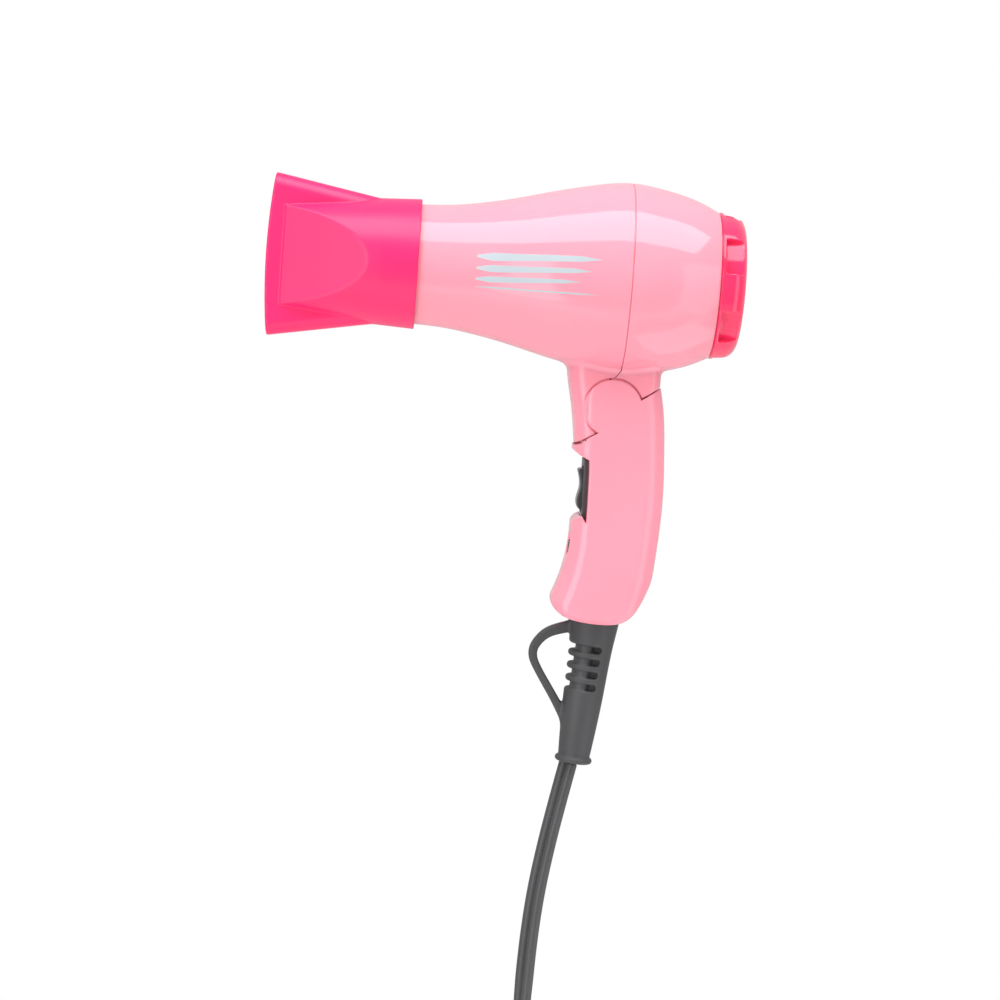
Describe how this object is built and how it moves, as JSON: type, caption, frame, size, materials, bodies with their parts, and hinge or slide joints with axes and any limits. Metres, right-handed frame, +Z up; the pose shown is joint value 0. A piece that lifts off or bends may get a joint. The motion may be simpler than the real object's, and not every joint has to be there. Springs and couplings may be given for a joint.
{
  "type": "folding hair dryer",
  "caption": "Compact folding hair dryer with a turning concentrator nozzle, twist-off intake cap, hinged handle with switches, flexing cord boot and plug.",
  "frame": {"origin": "middle of the grip, on the handle's parting plane, 100 mm below the barrel's axis", "axes": "+X from nozzle to intake along the barrel, +Z up the handle to the barrel, -Y towards the plain left half"},
  "size_m": [0.1915, 0.0766, 0.5935],
  "materials": {
    "pale_pink_gloss": "moulded gloss, pale pink",
    "hot_pink_satin": "satin moulded, hot pink",
    "rose_gloss": "gloss, slightly translucent rose",
    "charcoal_rubber": "matte soft moulding, charcoal",
    "black_plastic": "black moulded plastic",
    "black_gloss": "black gloss",
    "white_plastic": "heat-resistant moulding",
    "mica": "mica sheet",
    "steel": "zinc-plated steel",
    "spring_steel": "spring steel",
    "heater_wire": "resistance wire",
    "mesh": "woven wire mesh",
    "magnet": "ferrite",
    "armature": "laminated steel and enamelled copper",
    "circuit_board": "printed circuit board",
    "nickel": "nickel-plated brass",
    "cord_black": "flat flexible cord",
    "tie_black": "soft strap",
    "red_plastic": "red button",
    "grey_plastic": "button"
  },
  "bodies": {
    "handle": {"handle_shell_left": "pale_pink_gloss", "handle_shell_right": "pale_pink_gloss", "handle_screws": "steel", "detent_spring": "spring_steel", "rocker_housing": "black_plastic", "slide_housing": "black_plastic", "clamp_base": "white_plastic", "cable_clamp": "white_plastic", "clamp_screws": "steel", "supply_wires": "cord_black", "cord_boot": "charcoal_rubber", "cord_tube": "cord_black", "cord_hank": "cord_black", "cord_tie": "tie_black", "cord_tail": "cord_black", "plug_relief": "charcoal_rubber", "plug_cover": "black_plastic", "plug_base": "black_plastic", "plug_blades": "nickel", "plug_board": "circuit_board"},
    "head": {"front_shell": "pale_pink_gloss", "rear_shell": "pale_pink_gloss", "shell_screws": "steel", "outlet_grille": "black_plastic", "fan_duct": "white_plastic", "motor_can": "steel", "motor_magnets": "magnet", "motor_end_cap": "black_plastic", "rectifier_board": "circuit_board", "mica_tube": "mica", "mica_board_upright": "mica", "mica_board_level": "mica", "heater_coil": "heater_wire", "heater_frame": "white_plastic", "thermostat": "steel", "head_wires": "cord_black"},
    "nozzle": {"nozzle": "hot_pink_satin"},
    "rear_cap": {"rear_cap": "rose_gloss", "filter_mesh": "mesh", "filter_frame": "black_plastic"},
    "fan": {"fan_impeller": "white_plastic", "motor_shaft": "steel", "motor_armature": "armature"},
    "rocker": {"rocker_button": "black_gloss"},
    "slide_knob": {"slide_knob": "black_gloss"},
    "test_button": {"plug_test_button": "grey_plastic"},
    "reset_button": {"plug_reset_button": "red_plastic"}
  },
  "joints": [
    {"name": "fold_hinge", "type": "hinge", "parent": "handle", "child": "head", "pos_m": [-0.006, 0, 0.0486], "axis": [0, -1, 0], "range_deg": [0, 75]},
    {"name": "nozzle_turn", "type": "hinge", "parent": "head", "child": "nozzle", "pos_m": [-0.099, 0, 0.1], "axis": [1, 0, 0], "continuous": true},
    {"name": "rear_cap_twist", "type": "hinge", "parent": "head", "child": "rear_cap", "pos_m": [0.036, 0, 0.1], "axis": [1, 0, 0], "range_deg": [0, 20]},
    {"name": "fan_spin", "type": "hinge", "parent": "head", "child": "fan", "pos_m": [0.004, 0, 0.1], "axis": [1, 0, 0], "continuous": true},
    {"name": "rocker_tilt", "type": "hinge", "parent": "handle", "child": "rocker", "pos_m": [-0.0126, 0, 0.0148], "axis": [0, 1, 0], "range_deg": [-6, 6]},
    {"name": "slide_switch", "type": "slide", "parent": "handle", "child": "slide_knob", "axis": [0, 0, 1], "range_m": [0, 0.0035]},
    {"name": "test_press", "type": "slide", "parent": "handle", "child": "test_button", "axis": [0, 1, 0], "range_m": [0, 0.0015], "stiffness_N_per_m": 300},
    {"name": "reset_press", "type": "slide", "parent": "handle", "child": "reset_button", "axis": [0, 1, 0], "range_m": [0, 0.0015], "stiffness_N_per_m": 300}
  ]
}
